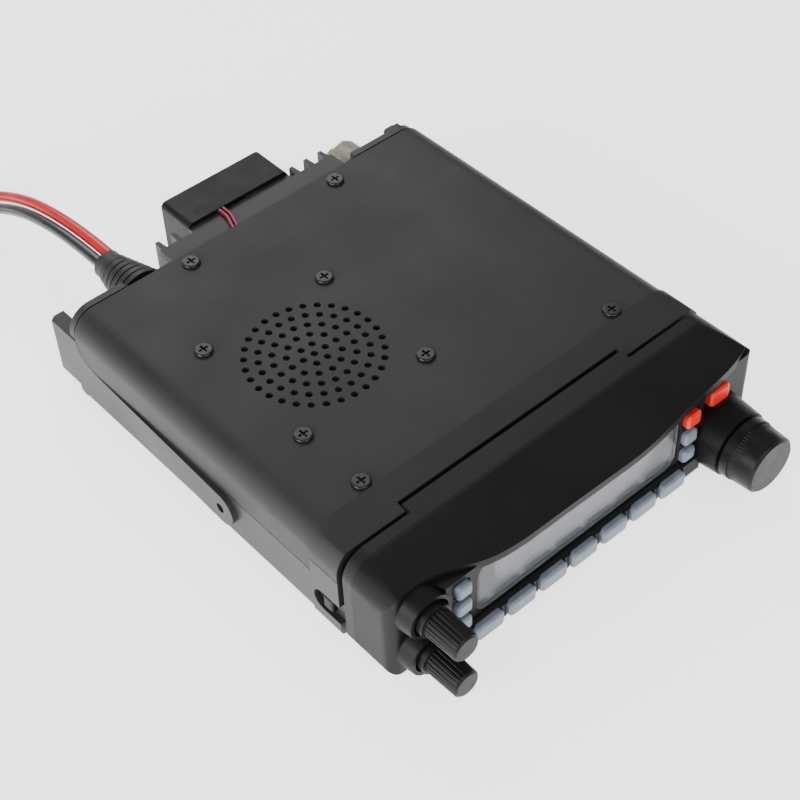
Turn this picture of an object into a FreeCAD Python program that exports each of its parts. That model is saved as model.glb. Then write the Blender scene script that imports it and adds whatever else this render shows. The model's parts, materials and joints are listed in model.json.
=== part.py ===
import FreeCAD, Part
import math
import os

# Mobile radio transceiver with a detachable control head.
# Millimetres. +Z up, -Y towards the operator, origin under the middle of the set.

# Depths, from the face of the main dial back to the fan shroud
DIAL_LENGTH = 12.0
DIAL_COLLAR_LENGTH = 10.0
HEAD_CASE_DEPTH = 18.0
HEAD_RING_DEPTH = 3.5
HEAD_GAP = 1.7
COVER_LENGTH = 122.5
REAR_RIM = 3.3
SINK_DEPTH = 8.4
SHROUD_DEPTH = 15.6

# Overall width and height
BODY_WIDTH = 140.0
BODY_HEIGHT = 34.0
SEAM_Z = 17.4
HALF = BODY_WIDTH / 2

# Chassis casting
FLOOR = 4.0
WALL = 3.0
FOOT_RADIUS = 2.0
RAIL_HEIGHT = 11.5
RAIL_BASE = 5.0
RAIL_PROUD = 1.8
RAIL_LENGTH = 72.0
RAIL_FROM_FRONT = 45.3
BRACKET_HOLE_R = 1.65
BRACKET_HOLE_DEPTH = 5.5
CHEEK_THICK = 4.6
CHEEK_REACH = 10.0
CHEEK_BELOW_TOP = 8.5
SINK_BELOW_TOP = 3.0
SINK_FROM_LEFT = 39.4
SINK_FROM_RIGHT = 31.0
CHEEK_TOP = BODY_HEIGHT - CHEEK_BELOW_TOP
SINK_TOP = BODY_HEIGHT - SINK_BELOW_TOP
SINK_LEFT = -HALF + SINK_FROM_LEFT
SINK_RIGHT = HALF - SINK_FROM_RIGHT
FIN_PITCH = 6.0
FIN_ROOT = 3.2
FIN_TIP = 1.4
FIN_REACH = 4.0
BAND_DEPTH = 11.9
BAND_PROUD = 0.5
BAND_SEAM_BELOW_TOP = 10.5
BAND_SEAM_Z = BODY_HEIGHT - BAND_SEAM_BELOW_TOP

# Cover pressing
SHEET = 1.2
BEND_R = 8.0
FLANGE_CORNER_R = 7.0
GRILLE_X = -26.4
GRILLE_FROM_FRONT = 61.5
GRILLE_PITCH = 4.1
GRILLE_HOLE_R = 1.1
GRILLE_RINGS = 5
NOTCH_DEPTH = 3.6
NOTCH_FROM_LEFT = 24.0
NOTCH_FROM_RIGHT = 31.5
NOTCH_LEFT = -HALF + NOTCH_FROM_LEFT
NOTCH_RIGHT = HALF - NOTCH_FROM_RIGHT

# Screws
SCREW_HEAD_R = 2.9
SCREW_HEAD_H = 1.0
SCREW_R = 1.45
SCREW_LENGTH = 7.0
CROSS_WIDTH = 0.7
CROSS_LENGTH = 3.2
CROSS_DEPTH = 0.7
REAR_SCREW_X = 28.8
REAR_SCREW_INSET = 4.8
FRONT_SCREW_FROM_SIDE = 21.4
FRONT_SCREW_X = HALF - FRONT_SCREW_FROM_SIDE
FRONT_SCREW_INSET = 15.0
SPEAKER_SCREW_INSET = 3.2

# Loudspeaker
SPEAKER_SIDE = 52.0
SPEAKER_SCREW_HALF = SPEAKER_SIDE / 2 - SPEAKER_SCREW_INSET
SPEAKER_FRAME_H = 11.0
SPEAKER_PLATE = 1.2
CONE_R = 21.0
MAGNET_R = 13.0
MAGNET_H = 6.0
FELT = 0.5

# Boards
BOARD_THICK = 1.6
BOARD_Z = 8.0

# Antenna socket
ANTENNA_FROM_SIDE = 20.0
ANTENNA_X = HALF - ANTENNA_FROM_SIDE
ANTENNA_Z = 17.0
ANTENNA_R = 7.9
ANTENNA_REACH = 16.5
ANTENNA_FLANGE = 18.0
THREAD_PITCH = 1.06
THREAD_DEPTH = 0.5

# Loudspeaker jack
JACK_FROM_SIDE = 12.0
JACK_X = -HALF + JACK_FROM_SIDE
JACK_Z = 11.0
JACK_R = 1.8
JACK_DEPTH = 12.0

# Fan
SHROUD_LEFT = -18.0
SHROUD_RIGHT = 22.0
SHROUD_BELOW_TOP = 1.4
SHROUD_TOP = BODY_HEIGHT - SHROUD_BELOW_TOP
SHROUD_BASE = 1.0
SHROUD_WALL = 1.6
FAN_R = 14.0
FAN_TIP_GAP = 0.8
FAN_HUB_R = 5.2
FAN_BLADES = 7
FAN_DEPTH = 6.0
FAN_SCREW_HEAD_R = 2.3

# Supply lead
RELIEF_FROM_SIDE = 27.5
RELIEF_X = -HALF + RELIEF_FROM_SIDE
RELIEF_Z = 24.0
RELIEF_LENGTH = 20.0
RELIEF_BASE_R = 8.8
RELIEF_TIP_R = 4.9
LEAD_DIAMETER = 3.8
PLUG_WIDTH = 13.0
PLUG_LENGTH = 26.0
PLUG_HEIGHT = 9.0

# Control head
HEAD_BASE = 0.0
HEAD_TOP = BODY_HEIGHT
HEAD_TOP_R = 8.0
HEAD_FOOT_R = 3.0
HEAD_WALL = 1.8
VISOR_REACH = 4.6
VISOR_DROP = 4.8
HEAD_SLOPE = 2.7
HEAD_ROOF = VISOR_DROP
FACE_ROOF = 1.4
FACE_CORNER_R = 4.0
LEFT_SETBACK = 3.0
RIGHT_SETBACK = 1.0
PANEL_BOW = 1.6
PANEL_FROM_LEFT = 15.5
PANEL_FROM_RIGHT = 24.8
PANEL_LEFT = -HALF + PANEL_FROM_LEFT
PANEL_RIGHT = HALF - PANEL_FROM_RIGHT
WINDOW_FROM_LEFT = 26.5
WINDOW_FROM_RIGHT = 35.0
WINDOW_BELOW_TOP = 5.1
WINDOW_LEFT = -HALF + WINDOW_FROM_LEFT
WINDOW_RIGHT = HALF - WINDOW_FROM_RIGHT
WINDOW_BASE = 9.3
WINDOW_TOP = HEAD_TOP - WINDOW_BELOW_TOP
WINDOW_CORNER = 4.0
WINDOW_THICK = 1.2

# Controls
DIAL_FROM_SIDE = 17.0
DIAL_LIFT = 1.2
DIAL_R = 10.0
COLLAR_REACH = 0.6
COLLAR_FLARE = 1.0
KNOB_FROM_SIDE = 10.0
VOLUME_BELOW_TOP = 10.0
DIAL_X = HALF - DIAL_FROM_SIDE
DIAL_Z = DIAL_R + DIAL_LIFT
COLLAR_R = DIAL_R + COLLAR_REACH
COLLAR_BASE_R = COLLAR_R + COLLAR_FLARE
KNOB_X = -HALF + KNOB_FROM_SIDE
VOLUME_Z = HEAD_TOP - VOLUME_BELOW_TOP
SQUELCH_Z = 8.0
KNOB_R = 4.6
KNOB_SKIRT = 0.7
KNOB_SKIRT_R = KNOB_R + KNOB_SKIRT
KNOB_LENGTH = 13.5
KNOB_COLLAR_WALL = 1.9
KNOB_COLLAR_R = KNOB_SKIRT_R + KNOB_COLLAR_WALL
KNOB_COLLAR_LENGTH = 5.0
SHAFT_R = 1.5
RUNNING = 0.05
BUSH_R = 3.0
KNURLS_SMALL = 22
KNURLS_DIAL = 60

# Keys
KEY_LEDGE = 2.0
KEY_PROUD = 3.6
SIDE_KEY_PROUD = 1.8
RED_KEY_PROUD = 2.8
KEY_TRAVEL = 0.8
KEY_GAP = 0.35
KEY_FLANGE = 0.6
KEY_ROW_COUNT = 7
KEY_ROW_PITCH = 12.1
KEY_ROW_GAP = 1.9
KEY_ROW_OFF_MIDDLE = 0.35
KEY_ROW_Z = 5.4
KEY_ROW_HEIGHT = 5.6
KEY_ROW_SIZE = (KEY_ROW_PITCH - KEY_ROW_GAP, KEY_ROW_HEIGHT)
KEY_ROW_X = (PANEL_LEFT + PANEL_RIGHT) / 2 - KEY_ROW_OFF_MIDDLE
SIDE_KEY_SIZE = (5.4, 4.9)
LEFT_KEYS_FROM_SIDE = 21.0
RIGHT_KEYS_FROM_SIDE = 30.8
SIDE_KEY_PITCH = 7.2
SIDE_KEYS_BELOW_TOP = 8.1
LEFT_KEYS_X = -HALF + LEFT_KEYS_FROM_SIDE
RIGHT_KEYS_X = HALF - RIGHT_KEYS_FROM_SIDE
SIDE_KEY_TOP_Z = HEAD_TOP - SIDE_KEYS_BELOW_TOP
RED_KEY_WIDTH = 8.0
RED_KEY_FROM_SIDE = 17.5
RED_KEY_BELOW_TOP = 5.6
RED_KEY_OVER_DIAL = 1.2
RED_KEY_X = HALF - RED_KEY_FROM_SIDE
RED_KEY_CREST = HEAD_TOP - RED_KEY_BELOW_TOP
RED_KEY_FOOT = DIAL_Z + DIAL_R + RED_KEY_OVER_DIAL
RED_KEY_SIZE = (RED_KEY_WIDTH, RED_KEY_CREST - RED_KEY_FOOT)
RED_KEY_Z = (RED_KEY_CREST + RED_KEY_FOOT) / 2

# Connector between body and head
SOCKET_X0 = 10.0
SOCKET_X1 = 34.0
SOCKET_Z0 = 13.0
SOCKET_Z1 = 22.0
SOCKET_WALL = 1.2

# Release latch
LATCH_Z = 9.0
LATCH_FROM_FRONT = 3.6
LATCH_LENGTH = 3.8
LATCH_HEIGHT = 5.0
LATCH_THICK = 2.2
LATCH_TRAVEL = 1.2
SPRING_SPACE = 8.2

CLEAR = 0.3

depths = [DIAL_LENGTH, DIAL_COLLAR_LENGTH, HEAD_CASE_DEPTH, HEAD_RING_DEPTH, HEAD_GAP]
depths += [COVER_LENGTH, REAR_RIM, SINK_DEPTH, SHROUD_DEPTH]
Y_DIAL = -sum(depths) / 2
Y_COLLAR = Y_DIAL + DIAL_LENGTH
Y_PANEL = Y_COLLAR + DIAL_COLLAR_LENGTH
Y_SEAM = Y_PANEL + HEAD_CASE_DEPTH
Y_RING = Y_SEAM + HEAD_RING_DEPTH
Y_COVER = Y_RING + HEAD_GAP
Y_COVER_REAR = Y_COVER + COVER_LENGTH
Y_RIM = Y_COVER_REAR + REAR_RIM
Y_SINK = Y_RIM + SINK_DEPTH
Y_SHROUD = Y_SINK + SHROUD_DEPTH
Y_BOWED = Y_PANEL - PANEL_BOW
Y_VISOR = Y_PANEL - VISOR_REACH
Y_LEFT = Y_PANEL + LEFT_SETBACK
Y_RIGHT = Y_PANEL + RIGHT_SETBACK
GRILLE_Y = Y_COVER + GRILLE_FROM_FRONT

UP = FreeCAD.Vector(0, 0, 1)
BACK = FreeCAD.Vector(0, 1, 0)
RIGHT = FreeCAD.Vector(1, 0, 0)


def vec(x, y, z):
    return FreeCAD.Vector(x, y, z)


def box(x0, x1, y0, y1, z0, z1):
    return Part.makeBox(x1 - x0, y1 - y0, z1 - z0, vec(x0, y0, z0))


def rod(x, y0, y1, z, radius, end_radius=None):
    """A cylinder or cone along Y."""
    if end_radius is None:
        return Part.makeCylinder(radius, y1 - y0, vec(x, y0, z), BACK)
    return Part.makeCone(radius, end_radius, y1 - y0, vec(x, y0, z), BACK)


def post(x, y, z0, z1, radius):
    return Part.makeCylinder(radius, z1 - z0, vec(x, y, z0), UP)


def prism(points, direction):
    """A closed outline of points, pushed out along a direction."""
    wire = Part.makePolygon(points + [points[0]])
    return Part.Face(wire).extrude(direction)


def joined(shapes):
    result = shapes[0]
    for shape in shapes[1:]:
        result = result.fuse(shape)
    return result.removeSplitter()


def rounded_profile(half_left, half_right, z0, z1, top_r, foot_r, y0, y1):
    """An upright rounded rectangle in XZ, extruded from y0 to y1."""
    solid = box(half_left, half_right, y0, y1, z0, z1)
    tops = edges_along(solid, BACK, lambda c: c.z > (z0 + z1) / 2)
    solid = solid.makeFillet(top_r, tops)
    if foot_r > 0:
        feet = edges_along(solid, BACK, lambda c: abs(c.z - z0) < 0.01)
        solid = solid.makeFillet(foot_r, feet)
    return solid


def edges_along(shape, direction, wanted):
    """The straight edges parallel to a direction whose centres pass a test."""
    found = []
    for edge in shape.Edges:
        if not isinstance(edge.Curve, (Part.Line, Part.LineSegment)):
            continue
        ends = edge.Vertexes
        run = ends[-1].Point.sub(ends[0].Point)
        if run.Length > 0.01 and run.normalize().cross(direction).Length < 0.001:
            if wanted(edge.CenterOfMass):
                found.append(edge)
    return found


def cross_recess(x, y, z):
    """The cross cut into a screw head whose top is at z."""
    long, thin = CROSS_LENGTH / 2, CROSS_WIDTH / 2
    one = box(x - long, x + long, y - thin, y + thin, z - CROSS_DEPTH, z + 1)
    two = box(x - thin, x + thin, y - long, y + long, z - CROSS_DEPTH, z + 1)
    return one.fuse(two)


def cover_screw(x, y, length):
    """A pan-head cross screw standing in the cover, pointing down."""
    head = post(x, y, BODY_HEIGHT, BODY_HEIGHT + SCREW_HEAD_H, SCREW_HEAD_R)
    rim = [e for e in head.Edges if abs(e.CenterOfMass.z - BODY_HEIGHT - SCREW_HEAD_H) < 0.01]
    head = head.makeFillet(SCREW_HEAD_H * 0.6, rim)
    shank = post(x, y, BODY_HEIGHT - length, BODY_HEIGHT, SCREW_R)
    return head.fuse(shank).cut(cross_recess(x, y, BODY_HEIGHT + SCREW_HEAD_H))


def cover_screw_places():
    rear = Y_COVER_REAR - REAR_SCREW_INSET
    front = Y_COVER + FRONT_SCREW_INSET
    places = []
    for side in (-1, 1):
        places.append((side * REAR_SCREW_X, rear))
        places.append((side * FRONT_SCREW_X, front))
    return places


def speaker_screw_places():
    places = []
    for dx in (-SPEAKER_SCREW_HALF, SPEAKER_SCREW_HALF):
        for dy in (-SPEAKER_SCREW_HALF, SPEAKER_SCREW_HALF):
            places.append((GRILLE_X + dx, GRILLE_Y + dy))
    return places


# ---------------------------------------------------------------- chassis

def flange_outline(side, x_in, x_out, grow):
    """The space of one side flange of the cover, with its rounded lower rear corner."""
    radius = FLANGE_CORNER_R + grow
    x0, x1 = sorted((side * x_in, side * x_out))
    solid = box(x0, x1, Y_COVER - 1, Y_COVER_REAR + grow, SEAM_Z - grow, BODY_HEIGHT)
    corner = edges_along(
        solid, RIGHT,
        lambda c: abs(c.z - SEAM_Z + grow) < 0.01 and abs(c.y - Y_COVER_REAR - grow) < 0.01)
    return solid.makeFillet(radius, corner)


def side_rail(side):
    """A raised bar on the side of the casting, round at its front end and flush at its rear."""
    y0 = Y_COVER + RAIL_FROM_FRONT
    radius = RAIL_HEIGHT / 2
    z_mid = RAIL_BASE + radius
    root = side * (HALF - WALL / 2)
    bar = box(min(root, side * (HALF + RAIL_PROUD)), max(root, side * (HALF + RAIL_PROUD)),
              y0 + radius, y0 + RAIL_LENGTH, RAIL_BASE, RAIL_BASE + RAIL_HEIGHT)
    reach = RAIL_PROUD + WALL / 2
    nose = Part.makeCylinder(radius, reach, vec(root, y0 + radius, z_mid), vec(side, 0, 0))
    rail = bar.fuse(nose).removeSplitter()
    outer = side * (HALF + RAIL_PROUD)
    wedge = prism([vec(side * HALF, y0 + RAIL_LENGTH, 0),
                   vec(outer + side, y0 + RAIL_LENGTH, 0),
                   vec(outer + side, y0 + radius, 0),
                   vec(outer, y0 + radius, 0)], vec(0, 0, SEAM_Z + RAIL_BASE))
    return rail.cut(wedge)


def bracket_hole(side):
    """One threaded hole in a rail, for the mounting bracket's screw."""
    outer = side * (HALF + RAIL_PROUD + 1)
    y = Y_COVER + RAIL_FROM_FRONT + RAIL_HEIGHT / 2
    z = RAIL_BASE + RAIL_HEIGHT / 2
    return Part.makeCylinder(BRACKET_HOLE_R, BRACKET_HOLE_DEPTH + 1, vec(outer, y, z), vec(-side, 0, 0))


def cheek(side):
    """The part of a side wall that runs on behind the cover."""
    x0, x1 = sorted((side * HALF, side * (HALF - CHEEK_THICK)))
    y0 = Y_COVER_REAR - FLANGE_CORNER_R - 1.5
    solid = box(x0, x1, y0, Y_RIM + CHEEK_REACH, FLOOR, CHEEK_TOP)
    top = edges_along(solid, BACK, lambda c: c.z > CHEEK_TOP - 0.1 and abs(c.x) > HALF - 0.1)
    solid = solid.makeChamfer(1.2, top)
    return solid.cut(flange_outline(side, HALF - SHEET - CLEAR, HALF + 1, CLEAR))


def front_cheek(side):
    """The raised band of a side wall beside the control head."""
    x0, x1 = sorted((side * (HALF + BAND_PROUD), side * (HALF - WALL)))
    solid = box(x0, x1, Y_COVER, Y_COVER + BAND_DEPTH - CLEAR, 0, BAND_SEAM_Z - CLEAR)
    feet = edges_along(solid, BACK, lambda c: c.z < 0.01 and abs(c.x) > HALF)
    return solid.makeFillet(FOOT_RADIUS, feet)


def finger_scoop():
    """A hollow in the left front cheek, round at its rear, that gives a finger the latch."""
    x0 = -HALF - BAND_PROUD - 1
    depth = 1 + BAND_PROUD + 1.4
    radius = LATCH_HEIGHT / 2 + 1.2
    y_mid = Y_COVER + BAND_DEPTH - radius - 1.0
    mouth = Part.makeCylinder(radius, depth, vec(x0, y_mid, LATCH_Z), RIGHT)
    return mouth.fuse(box(x0, x0 + depth, Y_COVER - 1, y_mid, LATCH_Z - radius, LATCH_Z + radius))


def latch_window(grow):
    """The hole in the left wall that the latch button moves in."""
    return box(-HALF - BAND_PROUD - 1, -HALF + WALL + 1,
               Y_COVER + LATCH_FROM_FRONT - grow, Y_COVER + LATCH_FROM_FRONT + LATCH_LENGTH + grow,
               LATCH_Z - LATCH_HEIGHT / 2 - grow, LATCH_Z + LATCH_HEIGHT / 2 + grow)


def rear_wall():
    """The rear wall: a rim that follows the cover, lower where the heat sink stands."""
    wall = rounded_profile(-HALF + 0.4, HALF - 0.4, 0, BODY_HEIGHT - 0.4, BEND_R, 0,
                           Y_COVER_REAR + CLEAR * 3, Y_RIM)
    low_left = RELIEF_X - RELIEF_BASE_R + 2
    wall = wall.cut(box(low_left, SINK_RIGHT + 3, Y_COVER_REAR, Y_RIM + 1, SINK_TOP, BODY_HEIGHT + 1))
    lug = box(HALF - 10, HALF - 4, Y_RIM - 0.5, Y_RIM + 4, SINK_TOP - 8, SINK_TOP)
    return wall.fuse(lug)


def fin_xs():
    count = int((SINK_RIGHT - SINK_LEFT - FIN_ROOT) // FIN_PITCH) + 1
    return [SINK_LEFT + FIN_ROOT / 2 + i * FIN_PITCH for i in range(count)]


def heat_sink():
    """Top plate and upright tapered fins, cast with the rear wall. The fan stands behind the middle ones."""
    shelf = Y_SINK - FIN_REACH / 2
    solids = [box(SINK_LEFT, SINK_RIGHT, Y_RIM - 0.5, shelf, SINK_TOP - 2.5, SINK_TOP)]
    behind_fan = (SHROUD_LEFT - FIN_ROOT / 2 - CLEAR, SHROUD_RIGHT + FIN_ROOT / 2 + CLEAR)
    for x in fin_xs():
        shadowed = behind_fan[0] < x < behind_fan[1]
        tip = Y_SINK if shadowed else Y_SINK + FIN_REACH / 2
        solids.append(prism([vec(x - FIN_ROOT / 2, Y_RIM - 0.5, FLOOR),
                             vec(x + FIN_ROOT / 2, Y_RIM - 0.5, FLOOR),
                             vec(x + FIN_TIP / 2, tip, FLOOR),
                             vec(x - FIN_TIP / 2, tip, FLOOR)], vec(0, 0, SINK_TOP - FLOOR)))
    middle = box(SHROUD_LEFT, SHROUD_RIGHT, Y_RIM - 0.5, Y_SINK, SINK_TOP - 2.5, SINK_TOP)
    return joined(solids + [middle])


def board_posts():
    """(x, y) of the posts that carry the main board."""
    x = HALF - WALL - 14
    rear = Y_COVER_REAR - 18
    front = Y_COVER + 26
    return [(-x, front), (x, front), (-x, rear), (x, rear)]


def chassis():
    tub = box(-HALF, HALF, Y_COVER, Y_RIM, 0, SEAM_Z - CLEAR)
    feet = edges_along(tub, BACK, lambda c: c.z < 0.01)
    tub = tub.makeFillet(FOOT_RADIUS, feet)
    inside = box(-HALF + WALL, HALF - WALL, Y_COVER - 1, Y_COVER_REAR + CLEAR * 3, FLOOR, BODY_HEIGHT)
    solids = [tub.cut(inside), rear_wall(), heat_sink()]
    for side in (-1, 1):
        solids += [side_rail(side), cheek(side), front_cheek(side)]
    sill = box(-HALF + WALL - 1, HALF - WALL + 1, Y_COVER, Y_COVER + WALL, 0, FLOOR + 3)
    solids.append(sill)
    x0 = -HALF + WALL + SPRING_SPACE
    solids.append(box(x0, x0 + 1.6, Y_COVER + LATCH_FROM_FRONT - 0.5, Y_COVER + LATCH_FROM_FRONT + 6,
                      FLOOR - 1, LATCH_Z + 3))
    for x, y in cover_screw_places():
        solids.append(post(x, y, FLOOR - 1, BODY_HEIGHT - SHEET, SCREW_R + 2))
    for x, y in board_posts():
        solids.append(post(x, y, FLOOR - 1, BOARD_Z, SCREW_R + 2))
    body = joined(solids)
    for x, y in cover_screw_places():
        body = body.cut(post(x, y, BODY_HEIGHT - SCREW_LENGTH - 2, BODY_HEIGHT, SCREW_R + RUNNING))
    for x, y in board_posts():
        body = body.cut(post(x, y, FLOOR - 1, BOARD_Z + 1, SCREW_R + RUNNING))
    for side in (-1, 1):
        body = body.cut(bracket_hole(side))
    body = body.cut(finger_scoop()).cut(latch_window(CLEAR))
    body = body.cut(rod(RELIEF_X, Y_COVER_REAR - 1, Y_RIM + 1, RELIEF_Z, RELIEF_TIP_R + CLEAR))
    body = body.cut(rod(ANTENNA_X, Y_COVER_REAR - 1, Y_RIM + 1, ANTENNA_Z, ANTENNA_R - 1.5 + RUNNING))
    body = body.cut(rod(JACK_X, Y_COVER_REAR - 1, Y_RIM + 1, JACK_Z, JACK_R + 1.4 + RUNNING))
    return body


# ---------------------------------------------------------------- cover

def grille_places():
    """One hole in the middle and rings of 6, 12, 18... holes round it."""
    places = [(GRILLE_X, GRILLE_Y)]
    for ring in range(1, GRILLE_RINGS + 1):
        count = 6 * ring
        for i in range(count):
            angle = 2 * math.pi * i / count
            places.append((GRILLE_X + ring * GRILLE_PITCH * math.cos(angle),
                           GRILLE_Y + ring * GRILLE_PITCH * math.sin(angle)))
    return places


def top_cover():
    """A folded sheet with rounded bends and a thicker front band that slopes down to the head."""
    outer = rounded_profile(-HALF, HALF, SEAM_Z, BODY_HEIGHT, BEND_R, 0, Y_COVER, Y_COVER_REAR)
    band = rounded_profile(-HALF - BAND_PROUD, HALF + BAND_PROUD, SEAM_Z, BODY_HEIGHT + BAND_PROUD,
                           BEND_R + BAND_PROUD, 0, Y_COVER, Y_COVER + BAND_DEPTH)
    slope = prism([vec(-HALF - 2, Y_COVER - 1, BODY_HEIGHT - 1.0),
                   vec(-HALF - 2, Y_COVER - 1, BODY_HEIGHT + 3),
                   vec(-HALF - 2, Y_COVER + BAND_DEPTH + 1, BODY_HEIGHT + 3),
                   vec(-HALF - 2, Y_COVER + BAND_DEPTH + 1, BODY_HEIGHT + BAND_PROUD)],
                  vec(BODY_WIDTH + 4, 0, 0))
    skin = outer.fuse(band.cut(slope).common(box(-HALF - 2, HALF + 2, Y_COVER, Y_COVER + BAND_DEPTH,
                                                 0, BODY_HEIGHT + 3)))
    front = box(-HALF - 2, HALF + 2, Y_COVER - 1, Y_COVER + BAND_DEPTH, SEAM_Z - 1, BAND_SEAM_Z)
    high = box(-HALF - 2, HALF + 2, Y_COVER - 1, Y_COVER + BAND_DEPTH, BODY_HEIGHT, BODY_HEIGHT + 3)
    inner = rounded_profile(-HALF + SHEET, HALF - SHEET, SEAM_Z - 1, BODY_HEIGHT - SHEET,
                            BEND_R - SHEET, 0, Y_COVER - 1, Y_COVER_REAR + 1)
    low_inner = rounded_profile(-HALF + SHEET, HALF - SHEET, SEAM_Z - 1, BODY_HEIGHT - SHEET - 1.2,
                                BEND_R - SHEET, 0, Y_COVER - 1, Y_COVER + BAND_DEPTH - 4)
    roof = skin.cut(inner)
    under = outer.common(box(-HALF, HALF, Y_COVER, Y_COVER + BAND_DEPTH - 4, SEAM_Z, BODY_HEIGHT))
    roof = roof.fuse(under.cut(low_inner)).cut(slope).cut(high.common(slope)).cut(front)
    notch = box(NOTCH_LEFT, NOTCH_RIGHT, Y_COVER - 1, Y_COVER + NOTCH_DEPTH, BODY_HEIGHT - 6, BODY_HEIGHT + 3)
    roof = roof.cut(notch)
    for side in (-1, 1):
        x0, x1 = sorted((side * (HALF - SHEET - 1), side * (HALF + 1)))
        lower = box(x0, x1, Y_COVER_REAR - FLANGE_CORNER_R, Y_COVER_REAR + 1,
                    SEAM_Z - 1, SEAM_Z + FLANGE_CORNER_R)
        disc = Part.makeCylinder(FLANGE_CORNER_R, x1 - x0,
                                 vec(x0, Y_COVER_REAR - FLANGE_CORNER_R, SEAM_Z + FLANGE_CORNER_R), RIGHT)
        roof = roof.cut(lower.cut(disc))
    drills = [post(x, y, BODY_HEIGHT - 4, BODY_HEIGHT + 2, GRILLE_HOLE_R) for x, y in grille_places()]
    for x, y in cover_screw_places() + speaker_screw_places():
        drills.append(post(x, y, BODY_HEIGHT - 4, BODY_HEIGHT + 2, SCREW_R + 0.15))
    return roof.cut(Part.makeCompound(drills)).removeSplitter()


def cover_screws():
    return Part.makeCompound([cover_screw(x, y, SCREW_LENGTH) for x, y in cover_screw_places()])


def speaker_screws():
    length = SHEET + FELT + SPEAKER_PLATE + 1.5
    return Part.makeCompound([cover_screw(x, y, length) for x, y in speaker_screw_places()])


# ---------------------------------------------------------------- loudspeaker

def speaker_top():
    return BODY_HEIGHT - SHEET - FELT


def speaker_felt():
    side = SPEAKER_SIDE / 2 - 6
    sheet = box(GRILLE_X - side, GRILLE_X + side, GRILLE_Y - side, GRILLE_Y + side,
                speaker_top(), speaker_top() + FELT)
    return sheet


def speaker_frame():
    """A square steel basket with an open top for the cone and a neck for the magnet."""
    half = SPEAKER_SIDE / 2
    top = speaker_top()
    plate = box(GRILLE_X - half, GRILLE_X + half, GRILLE_Y - half, GRILLE_Y + half, top - SPEAKER_PLATE, top)
    plate = plate.makeFillet(4.0, edges_along(plate, UP, lambda c: True))
    depth = SPEAKER_FRAME_H - SPEAKER_PLATE
    low = top - SPEAKER_FRAME_H
    basket = Part.makeCone(MAGNET_R + 1, CONE_R + 2.5, depth, vec(GRILLE_X, GRILLE_Y, low), UP)
    hollow = Part.makeCone(MAGNET_R - 0.5, CONE_R + 1, depth, vec(GRILLE_X, GRILLE_Y, low + 1), UP)
    frame = plate.fuse(basket).cut(hollow)
    frame = frame.cut(post(GRILLE_X, GRILLE_Y, low - 1, top + 1, 6.0))
    frame = frame.cut(post(GRILLE_X, GRILLE_Y, top - SPEAKER_PLATE - 1, top + 1, CONE_R + 0.6))
    for x, y in speaker_screw_places():
        frame = frame.cut(post(x, y, low, top + 1, SCREW_R + RUNNING))
    return frame


def speaker_cone():
    """A thin paper cone with a domed middle, hung in the basket."""
    top = speaker_top() - 0.6
    low = top - SPEAKER_FRAME_H + 3.5
    outer = Part.makeCone(7.0, CONE_R, top - low, vec(GRILLE_X, GRILLE_Y, low), UP)
    inner = Part.makeCone(6.4, CONE_R - 0.6, top - low, vec(GRILLE_X, GRILLE_Y, low + 0.6), UP)
    shell = outer.cut(inner)
    coil = post(GRILLE_X, GRILLE_Y, low - 1.5, low + 0.4, 5.4)
    rim = post(GRILLE_X, GRILLE_Y, top - 0.5, top, CONE_R + 0.6)
    rim = rim.cut(post(GRILLE_X, GRILLE_Y, top - 1, top + 1, CONE_R - 0.9))
    return joined([shell, coil, rim])


def speaker_magnet():
    z1 = speaker_top() - SPEAKER_FRAME_H
    return post(GRILLE_X, GRILLE_Y, z1 - MAGNET_H, z1, MAGNET_R)


# ---------------------------------------------------------------- boards

def main_board():
    x = HALF - WALL - 8
    y0 = Y_COVER + FRONT_SCREW_INSET + 6
    y1 = Y_COVER_REAR - REAR_SCREW_INSET - 6
    board = box(-x, x, y0, y1, BOARD_Z, BOARD_Z + BOARD_THICK)
    for px, py in board_posts():
        board = board.cut(post(px, py, BOARD_Z - 1, BOARD_Z + BOARD_THICK + 1, SCREW_R + 0.15))
    return board


def board_screws():
    screws = []
    top = BOARD_Z + BOARD_THICK
    for x, y in board_posts():
        head = post(x, y, top, top + 1.8, SCREW_HEAD_R)
        shank = post(x, y, FLOOR - 0.5, top, SCREW_R)
        screws.append(head.fuse(shank).cut(cross_recess(x, y, top + 1.8)))
    return Part.makeCompound(screws)


def board_parts():
    """Chips, coils and capacitors soldered to the main board."""
    top = BOARD_Z + BOARD_THICK
    y0 = Y_COVER + 34
    parts = [box(14, 26, y0, y0 + 12, top, top + 1.6), box(34, 42, y0, y0 + 8, top, top + 1.2)]
    for i in range(4):
        parts.append(box(-4, 2, y0 + i * 9, y0 + i * 9 + 5, top, top + 3.5))
    for i in range(3):
        parts.append(post(HALF - 20, y0 + 20 + i * 11, top, top + 9, 3.6))
    return Part.makeCompound(parts)


def shield_can():
    """A folded tin can over the receiver, open below."""
    top = BOARD_Z + BOARD_THICK
    y0 = Y_COVER + 62
    can = box(8, HALF - 26, y0, y0 + 34, top, top + 6)
    return can.cut(box(8.4, HALF - 26.4, y0 + 0.4, y0 + 33.6, top - 1, top + 5.6))


def power_module():
    """The output stage: a metal-backed brick fixed to the rear wall's foot."""
    y1 = Y_COVER_REAR + CLEAR * 3
    x0 = REAR_SCREW_X - 50
    return box(x0, x0 + 42, y1 - 4.6, y1, FLOOR, FLOOR + 13)


# ---------------------------------------------------------------- body front

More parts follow.
